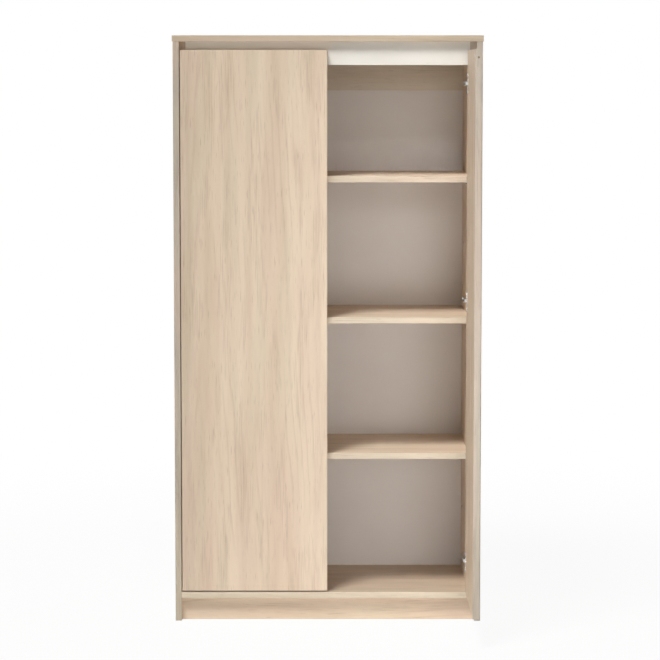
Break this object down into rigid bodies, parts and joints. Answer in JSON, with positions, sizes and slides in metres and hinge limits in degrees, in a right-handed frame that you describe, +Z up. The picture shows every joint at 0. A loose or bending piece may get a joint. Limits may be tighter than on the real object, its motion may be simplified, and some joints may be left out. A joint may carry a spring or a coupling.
{
  "type": "office cabinet",
  "caption": "Tall open-shelved office cabinet with inset hinged doors, finger gap over the doors and recessed plinth.",
  "frame": {"origin": "on the floor, under the centre of the whole part's box with the right door standing open", "axes": "+Z up, +X to the right seen from the front, +Y back towards the wall side"},
  "size_m": [0.8, 0.7692, 1.523],
  "materials": {
    "oak_melamine": "light oak decor, fine embossed pore",
    "oak_edge_band": "matching light oak edging, satin",
    "white_melamine": "plain white, satin",
    "printed_hardboard": "printed beige grey, matt",
    "nickel_plated_steel": "bright nickel plate",
    "zinc_plated_steel": "zinc plate",
    "zinc_casting": "as cast, dull",
    "beech": "plain turned beech",
    "clear_soft_plastic": "translucent, satin",
    "brown_plastic": "moulded, satin"
  },
  "bodies": {
    "cabinet": {"top_edge_bands": "oak_edge_band", "side_edge_bands": "oak_edge_band", "bottom_edge_band": "oak_edge_band", "shelf_edge_bands": "oak_edge_band", "back_panel": "printed_hardboard", "cam_bolts": "zinc_plated_steel", "cam_discs": "zinc_casting", "dowels": "beech", "shelf_pins": "nickel_plated_steel", "joining_screws": "zinc_plated_steel", "right_upper_hinge_arm": "nickel_plated_steel", "right_upper_hinge_plate": "nickel_plated_steel", "hinge_link_pins": "zinc_plated_steel", "hinge_plate_screws": "zinc_plated_steel", "hinge_arm_screws": "zinc_plated_steel", "right_middle_hinge_arm": "nickel_plated_steel", "right_middle_hinge_plate": "nickel_plated_steel", "right_lower_hinge_arm": "nickel_plated_steel", "right_lower_hinge_plate": "nickel_plated_steel", "left_upper_hinge_arm": "nickel_plated_steel", "left_upper_hinge_plate": "nickel_plated_steel", "left_middle_hinge_arm": "nickel_plated_steel", "left_middle_hinge_plate": "nickel_plated_steel", "left_lower_hinge_arm": "nickel_plated_steel", "left_lower_hinge_plate": "nickel_plated_steel", "top_panel": "oak_melamine", "right_side_panel": "oak_melamine", "left_side_panel": "oak_melamine", "right_inner_side": "oak_melamine", "left_inner_side": "oak_melamine", "bottom_panel": "oak_melamine", "front_plinth": "oak_melamine", "rear_plinth": "oak_melamine", "front_top_rail": "white_melamine", "rear_top_rail": "oak_melamine", "middle_shelf": "oak_melamine", "lower_shelf": "oak_melamine", "upper_shelf": "oak_melamine"},
    "right_door": {"right_upper_hinge_cup": "nickel_plated_steel", "right_cup_screws": "zinc_plated_steel", "right_middle_hinge_cup": "nickel_plated_steel", "right_lower_hinge_cup": "nickel_plated_steel", "right_door": "oak_melamine", "right_door_edge_bands": "oak_edge_band", "right_door_buffer": "clear_soft_plastic", "right_door_edge_plug": "brown_plastic"},
    "right_hinge_links": {"right_upper_hinge_link": "nickel_plated_steel", "right_middle_hinge_link": "nickel_plated_steel", "right_lower_hinge_link": "nickel_plated_steel"},
    "left_door": {"left_upper_hinge_cup": "nickel_plated_steel", "left_cup_screws": "zinc_plated_steel", "left_middle_hinge_cup": "nickel_plated_steel", "left_lower_hinge_cup": "nickel_plated_steel", "left_door": "oak_melamine", "left_door_edge_bands": "oak_edge_band", "left_door_buffer": "clear_soft_plastic"},
    "left_hinge_links": {"left_upper_hinge_link": "nickel_plated_steel", "left_middle_hinge_link": "nickel_plated_steel", "left_lower_hinge_link": "nickel_plated_steel"}
  },
  "joints": [
    {"name": "right_door_hinge", "type": "hinge", "parent": "cabinet", "child": "right_door", "pos_m": [0.3725, -0.01325, 0], "axis": [0, 0, 1], "range_deg": [-90, 10]},
    {"name": "left_door_hinge", "type": "hinge", "parent": "cabinet", "child": "left_door", "pos_m": [-0.3725, -0.01325, 0], "axis": [0, 0, 1], "range_deg": [-100, 0]},
    {"name": "right_link_swing", "type": "hinge", "parent": "cabinet", "child": "right_hinge_links", "pos_m": [0.3536, -0.00335, 0], "axis": [0, 0, 1], "range_deg": [-5.91, 49.19]},
    {"name": "left_link_swing", "type": "hinge", "parent": "cabinet", "child": "left_hinge_links", "pos_m": [-0.3536, -0.00335, 0], "axis": [0, 0, 1], "range_deg": [-0.5, 54.6]}
  ],
  "couplings": [
    {"joint": "right_link_swing", "follows": "right_door_hinge", "ratio": -0.54104},
    {"joint": "left_link_swing", "follows": "left_door_hinge", "ratio": -0.54104}
  ]
}
